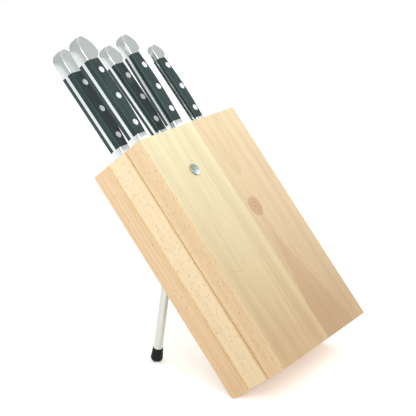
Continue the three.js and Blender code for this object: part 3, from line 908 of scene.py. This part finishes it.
def stations(k, count=14):
    """Heights along the handle, from the scales' foot to their top."""
    foot, top = LENGTH + k["foot"], LENGTH + k["top"]
    return [foot + (top - foot) * i / count for i in range(count + 1)]


# The pommel's outline from the back over the top to the beak: share of the width with the
# beak, and share of the height
POMMEL = (
    (0.0, 0.0), (0.0, 0.25), (0.01, 0.48), (0.045, 0.66), (0.11, 0.79), (0.23, 0.925),
    (0.33, 0.985), (0.43, 1.0), (0.54, 0.975), (0.66, 0.905), (0.79, 0.785), (0.89, 0.655),
    (0.955, 0.505), (0.99, 0.385), (1.0, 0.29), (0.975, 0.19),
)


def smooth_path(points, steps=3):
    """A Catmull-Rom curve through the points."""
    made = []
    for i in range(len(points) - 1):
        p0 = points[max(i - 1, 0)]
        p1, p2 = points[i], points[i + 1]
        p3 = points[min(i + 2, len(points) - 1)]
        for s in range(steps):
            t = s / steps
            made.append(tuple(
                0.5 * (2 * b + (c - a) * t + (2 * a - 5 * b + 4 * c - d) * t * t
                       + (3 * b - a - 3 * c + d) * t ** 3)
                for a, b, c, d in zip(p0, p1, p2, p3)))
    made.append(points[-1])
    return made


def pommel_solid(k):
    """The polished end cap: a tall dome that sweeps down to a beak over the belly."""
    base = LENGTH + k["top"] + SCALE_GAP
    spine = spine_at(k, LENGTH + k["top"])
    width = width_at(k, LENGTH + k["top"])
    beak, tall = k["beak"], k["pommel"]
    reach = width + beak
    shape = [(x * reach, z * tall) for x, z in POMMEL]
    shape += [(width + 0.45 * beak, 0.09 * tall), (width + 0.1 * beak, 0.03 * tall),
              (width, 0.0)]
    shape = smooth_path(shape)
    count = len(shape)
    inward, dome = [], []
    for i, (x, z) in enumerate(shape):
        ax, az = shape[i - 1] if i else (x, z - 1)
        bx, bz = shape[i + 1] if i < count - 1 else (x, z - 1)
        run = math.hypot(bx - ax, bz - az)
        nx, nz = (bz - az) / run, -(bx - ax) / run
        if i in (0, count - 1):
            nx, nz = (1.0, 0.0) if i == 0 else (-1.0, 0.0)
        inward.append((nx, nz))
        dome.append(min(1.0, 1.5 * max(0.0, -nz)) * min(1.0, z / (0.35 * tall)))
    half, depth = k["half"], ROW_DEPTH[k["row"]]
    levels = [-half + DOME_EDGE * (1 - math.cos(math.radians(15 * i))) for i in range(6)]
    levels += [-(half - DOME_EDGE) * (1 - i / 5) for i in range(6)]
    levels += [-y for y in reversed(levels[:-1])]
    rings = []
    for y in levels:
        share = (y / half) ** 2
        ring = []
        for i, ((x, z), (nx, nz), top) in enumerate(zip(shape, inward, dome)):
            edge = min(k["edge"] if i < count // 3 else BELLY_EDGE, BEAK_EDGE)
            edge += (DOME_EDGE - edge) * top
            over = min(1.0, max(0.0, abs(y) - (half - edge)) / edge)
            pull = k["crown"] * (1 - top) * share - DOME_RISE * top * (1 - share)
            pull += edge * (1 - math.sqrt(1 - over * over))
            ring.append((spine + x + nx * pull, depth + y, base + z + nz * pull))
        rings.append(ring)
    return skin(rings)


def bolster_solid(k):
    """The collar between the blade and the scales, drawn in towards the block."""
    low = LENGTH + SLOT_TOP_GAP
    high = LENGTH + k["foot"] - SCALE_GAP
    rings = []
    for share, shrink in ((0, 0.74), (0.05, 0.79), (0.2, 0.86), (0.45, 0.95), (0.75, 0.995),
                          (1, 1.0)):
        z = low + (high - low) * share
        section = full_section(k, LENGTH + k["foot"], k["half"] * shrink,
                               (1 - shrink) * 2.0)
        rings.append([(x, y, z) for x, y in section])
    return skin(rings)


def tang_solid(k):
    """The full tang, flush with the scales along the back and the belly."""
    depth, t = ROW_DEPTH[k["row"]], k["tang"]
    rings = []
    levels = stations(k)
    for z, hide in ((levels[0] - TANG_SUNK, TANG_HIDE), *((z, 0.0) for z in levels),
                    (levels[-1] + TANG_SUNK, TANG_HIDE)):
        near = min(max(z, levels[0]), levels[-1])
        spine = spine_at(k, near) + hide
        belly = spine_at(k, near) + width_at(k, near) - hide
        lift = k["crown"] * (t / k["half"]) ** 2
        y = t - hide
        rings.append([
            (spine + lift, depth - y, z), (spine, depth, z), (spine + lift, depth + y, z),
            (belly - lift, depth + y, z), (belly, depth, z), (belly - lift, depth - y, z),
        ])
    return skin(rings)


def blade_outline(k):
    """The blade from its neck down the edge to the tip and back up the spine."""
    top = LENGTH + SLOT_TOP_GAP + BLADE_SUNK
    spine, wide, tall = k["spine"][0], k["blade_width"], k["blade"]
    tip = LENGTH - tall
    heel = LENGTH - HEEL_DROP
    neck = spine + min(wide, k["widths"][0]) - 2.0
    head = [(spine + 0.6, top), (neck, top), (neck, heel + 1.0), (spine + wide - 0.8, heel),
            (spine + wide, heel - 0.8)]
    if k["outline"] == "round":
        edge = []
        pitch = 7.0
        z = heel - 9.0
        while z - pitch > tip + 0.09 * tall:
            edge += [(wide, z), (wide - 0.55, z - pitch * 0.25), (wide - 0.75, z - pitch * 0.5),
                     (wide - 0.55, z - pitch * 0.75)]
            z -= pitch
        edge.append((wide, z))
        edge += [(wide * x, tip + tall * rise) for x, rise in (
            (0.985, 0.05), (0.92, 0.028), (0.78, 0.01), (0.55, 0.0), (0.32, 0.003),
            (0.12, 0.016), (0.02, 0.035), (0.0, 0.06))]
        return head + [(spine + x, z) for x, z in edge]
    if k["outline"] == "chef":
        edge = ((0.995, 0.8), (0.965, 0.65), (0.89, 0.45), (0.77, 0.28), (0.6, 0.15), (0.42, 0.07),
                (0.25, 0.02), (0.14, 0.0), (0.07, 0.05), (0.02, 0.2), (0.0, 0.42))
    else:
        edge = ((0.995, 0.7), (0.97, 0.45), (0.9, 0.26), (0.76, 0.14), (0.56, 0.06), (0.34, 0.014),
                (0.17, 0.0), (0.08, 0.05), (0.02, 0.16), (0.0, 0.34))
    return head + [(spine + wide * x, tip + tall * z) for x, z in edge]


def blade_solid(k):
    """A flat-ground blade, thick at the back and fine at the edge."""
    depth, spine, wide = ROW_DEPTH[k["row"]], k["spine"][0], k["blade_width"]
    outline = blade_outline(k)

    def half(x):
        return max(EDGE_HALF, k["blade_half"] * (1 - 0.93 * (x - spine) / wide))

    return skin([[(x, depth + side * half(x), z) for x, z in outline] for side in (-1, 1)])


def rivet_profile(half, gap, over):
    """A rivet's outline, or with over its hole's: a shank with a wide head at each end."""
    head, shank = RIVET_RADIUS + gap, RIVET_SHANK + gap
    ledge = half - RIVET_HEAD - gap
    if over:
        face = half + over
        return [(0, -face), (head, -face), (head, -ledge), (shank, -ledge), (shank, ledge),
                (head, ledge), (head, face), (0, face)]
    top = [(head, ledge), (head, half - 0.12), (head - 0.1, half + 0.03), (head - 0.5, half + 0.1),
           (head - 1.6, half + 0.16), (0, half + 0.18)]
    return [(r, -y) for r, y in reversed(top)] + [(shank, -ledge), (shank, ledge)] + top


def rivet_spots(k):
    """The middles of a knife's rivets."""
    return [Vector((x, ROW_DEPTH[k["row"]], LENGTH + z)) for x, z in k["rivets"]]


def rivet_holes(k):
    """Cutters for a knife's rivet holes."""
    return [turned(rivet_profile(k["half"], RIVET_PLAY, 1.0), spot, INWARD, 32)
            for spot in rivet_spots(k)]


def build_knife_steel(steel):
    """Each knife's blade, bolster, tang and pommel as one forging."""
    material = satin_steel("satin_steel_forging", "#E4EAE8", steel.roughness, (0.6, 0.6, 12))
    for name, k in KNIVES.items():
        body = combine(bolster_solid(k), [blade_solid(k), tang_solid(k), pommel_solid(k)],
                       "UNION")
        body = combine(body, rivet_holes(k), "DIFFERENCE")
        finish_piece(f"{name}_forging", body, material, f"{name}_knife",
                     [f"{name}_steel"], sharp=28.0)


def build_knife_scales():
    """The two scales of each knife, bored for its rivets."""
    material = acetal_black()
    for name, k in KNIVES.items():
        depth = ROW_DEPTH[k["row"]]
        for label, side in (("front", -1), ("rear", 1)):
            rings = []
            for z in stations(k):
                section = half_section(k, z, k["tang"] + SCALE_GAP)
                rings.append([(x, depth + side * y, z) for x, y in section])
            bm = combine(skin(rings), rivet_holes(k), "DIFFERENCE")
            finish_piece(f"{name}_grip_{label}", bm, material, f"{name}_knife",
                         [f"{name}_scale_{label}"], sharp=40.0)


def build_knife_rivets():
    """The three rivets of each knife, polished nearly flush."""
    material = satin_steel("satin_steel_rivets", "#F4F6F8", 0.62, (0.6, 0.6, 0.6))
    for name, k in KNIVES.items():
        for index, spot in enumerate(rivet_spots(k), 1):
            bm = turned(rivet_profile(k["half"], 0.0, 0.0), spot, INWARD, 40)
            finish_piece(f"{name}_pin_{index}", bm, material, f"{name}_knife",
                         [f"{name}_rivet_{index}"])


# Stage

# Where the camera is from the block's corner in metres, its turn in degrees, its lens in mm
CAMERA_OFFSET = Vector((-1.08158, -0.63012, 0.51602))
CAMERA_TURN = (74.703, 2.926, -57.406)
CAMERA_LENS = 113.76


def build_stage(stage):
    """The white sweep, the softboxes, the surroundings and the camera."""
    bm = bmesh.new()
    bmesh.ops.create_grid(bm, x_segments=1, y_segments=1, size=8.0)
    floor = as_object(bm, "floor")
    material, tree, shader = new_material("white_sweep_paper")
    feed(tree, shader, {
        "Base Color": (*stage.floor_colour, 1.0), "Roughness": 0.9,
        "Emission Color": (1, 1, 1, 1), "Emission Strength": stage.floor_glow})
    floor.data.materials.append(material)

    # Softboxes: where each stands and what it is aimed at in metres, its side, power and tint
    for name, place, aim, size, power, tint in (
        ("key_softbox", (-0.86, -0.87, 1.06), (-0.07, 0.0, 0.3), 0.9, stage.key_power,
         (1.0, 1.0, 1.0)),
        ("side_softbox", (1.09, -0.66, 0.38), (0.0, 0.0, 0.2), 0.7, stage.side_power,
         (0.96, 1.0, 0.98)),
        ("back_softbox", (1.3, 1.5, 1.6), (1.3, 1.2, 0.0), 1.6, stage.back_power,
         (1.0, 1.0, 1.0)),
    ):
        light = bpy.data.lights.new(name, "AREA")
        light.shape = "SQUARE"
        light.size = size
        light.energy = power
        light.color = tint
        lamp = placed(name, light)
        lamp.location = place
        lamp.rotation_euler = (Vector(aim) - Vector(place)).to_track_quat("-Z", "Y").to_euler()

    # The surroundings: bright overhead, dimmer towards the horizon
    world = bpy.data.worlds.new("studio")
    world.use_nodes = True
    tree = world.node_tree
    height = add(tree, "SeparateXYZ", (add(tree, "TexCoord", output="Generated"),), "Z")
    sky = add(tree, "ValToRGB", (height,), stops=(
        (0.0, stage.horizon), (1.0, stage.overhead), (0.35, stage.horizon)))
    tree.links.new(sky, tree.nodes["Background"].inputs["Color"])
    bpy.context.scene.world = world
    bpy.context.scene.view_settings.view_transform = "Standard"

    data = bpy.data.cameras.new("camera")
    data.lens = CAMERA_LENS
    data.sensor_width = 36.0
    camera = placed("camera", data)
    camera.location = CORNER + CAMERA_OFFSET
    camera.rotation_euler = [math.radians(turn) for turn in CAMERA_TURN]
    bpy.context.scene.camera = camera


# Settings

class WoodSettings(PropertyGroup):
    arris: FloatProperty(
        name="Arris", description="How far the block's open edges are eased",
        default=0.0008, min=0.0002, max=0.004, unit="LENGTH",
    )


class SteelSettings(PropertyGroup):
    roughness: FloatProperty(
        name="Roughness", description="How satin the steel is",
        default=0.22, min=0.05, max=0.6, subtype="FACTOR",
    )


class StageSettings(PropertyGroup):
    key_power: FloatProperty(
        name="Key light", description="Power of the key softbox", default=14.0, unit="POWER",
    )
    side_power: FloatProperty(
        name="Side light", description="Power of the side softbox", default=4.4, unit="POWER",
    )
    back_power: FloatProperty(
        name="Back light", description="Power of the back softbox", default=12.0, unit="POWER",
    )
    horizon: FloatProperty(
        name="Horizon", description="Brightness of the surroundings at eye level", default=0.6,
    )
    overhead: FloatProperty(
        name="Overhead", description="Brightness of the surroundings overhead", default=0.85,
    )
    floor_colour: FloatVectorProperty(
        name="Floor", description="Colour of the floor", default=(0.93, 0.93, 0.93),
        subtype="COLOR", size=3, min=0.0, max=1.0,
    )
    floor_glow: FloatProperty(
        name="Floor glow", description="How brightly the floor is lit from below", default=0.26,
    )


class KnifeBlockSettings(PropertyGroup):
    wood: PointerProperty(type=WoodSettings)
    steel: PointerProperty(type=SteelSettings)
    stage: PointerProperty(type=StageSettings)


# Operators

class KNIFEBLOCK_OT_stage(Operator):
    """Adds the floor, the softboxes, the surroundings and the camera"""
    bl_idname = "knife_block.stage"
    bl_label = "Stage"

    def execute(self, context):
        build_stage(context.scene.knife_block.stage)
        return {"FINISHED"}


class KNIFEBLOCK_OT_boards(Operator):
    """Adds the two front staves, the middle board and the rear board"""
    bl_idname = "knife_block.boards"
    bl_label = "Boards"

    def execute(self, context):
        build_boards(context.scene.knife_block.wood)
        return {"FINISHED"}


class KNIFEBLOCK_OT_laths(Operator):
    """Adds the thin laths that part the knife slots"""
    bl_idname = "knife_block.laths"
    bl_label = "Laths"

    def execute(self, context):
        build_laths()
        return {"FINISHED"}


class KNIFEBLOCK_OT_dowels(Operator):
    """Adds the dowels that line the boards up"""
    bl_idname = "knife_block.dowels"
    bl_label = "Dowels"

    def execute(self, context):
        build_dowels()
        return {"FINISHED"}


class KNIFEBLOCK_OT_leg(Operator):
    """Adds the steel prop leg and its rubber foot"""
    bl_idname = "knife_block.leg"
    bl_label = "Prop leg"

    def execute(self, context):
        build_leg()
        return {"FINISHED"}


class KNIFEBLOCK_OT_lock_screw(Operator):
    """Adds the lock screw and its brass insert"""
    bl_idname = "knife_block.lock_screw"
    bl_label = "Lock screw"

    def execute(self, context):
        build_screw()
        return {"FINISHED"}


class KNIFEBLOCK_OT_forgings(Operator):
    """Adds each knife's blade, bolster, tang and pommel, forged in one piece"""
    bl_idname = "knife_block.forgings"
    bl_label = "Knife forgings"

    def execute(self, context):
        build_knife_steel(context.scene.knife_block.steel)
        return {"FINISHED"}


class KNIFEBLOCK_OT_scales(Operator):
    """Adds each knife's two black handle scales"""
    bl_idname = "knife_block.scales"
    bl_label = "Handle scales"

    def execute(self, context):
        build_knife_scales()
        return {"FINISHED"}


class KNIFEBLOCK_OT_rivets(Operator):
    """Adds the three rivets of each knife"""
    bl_idname = "knife_block.rivets"
    bl_label = "Rivets"

    def execute(self, context):
        build_knife_rivets()
        return {"FINISHED"}


OPERATORS = (
    KNIFEBLOCK_OT_stage, KNIFEBLOCK_OT_boards, KNIFEBLOCK_OT_laths, KNIFEBLOCK_OT_dowels,
    KNIFEBLOCK_OT_leg, KNIFEBLOCK_OT_lock_screw, KNIFEBLOCK_OT_forgings,
    KNIFEBLOCK_OT_scales, KNIFEBLOCK_OT_rivets,
)


class KNIFEBLOCK_PT_panel(Panel):
    """Lists what the knife block is made of"""
    bl_label = "Knife Block"
    bl_idname = "KNIFEBLOCK_PT_panel"
    bl_space_type = "VIEW_3D"
    bl_region_type = "UI"
    bl_category = "Knife Block"

    def draw(self, context):
        settings = context.scene.knife_block
        for group in (settings.wood, settings.steel, settings.stage):
            for name in group.bl_rna.properties.keys():
                if name not in {"rna_type", "name"}:
                    self.layout.prop(group, name)
        for operator in OPERATORS:
            self.layout.operator(operator.bl_idname)


CLASSES = (
    WoodSettings, SteelSettings, StageSettings, KnifeBlockSettings, *OPERATORS,
    KNIFEBLOCK_PT_panel,
)


def register():
    for made in CLASSES:
        bpy.utils.register_class(made)
    bpy.types.Scene.knife_block = PointerProperty(type=KnifeBlockSettings)


def unregister():
    del bpy.types.Scene.knife_block
    for made in reversed(CLASSES):
        bpy.utils.unregister_class(made)


def main():
    register()
    bpy.ops.knife_block.stage()
    bpy.ops.knife_block.boards()
    bpy.ops.knife_block.laths()
    bpy.ops.knife_block.dowels()
    bpy.ops.knife_block.leg()
    bpy.ops.knife_block.lock_screw()
    bpy.ops.knife_block.forgings()
    bpy.ops.knife_block.scales()
    bpy.ops.knife_block.rivets()


if __name__ == "__main__":
    main()
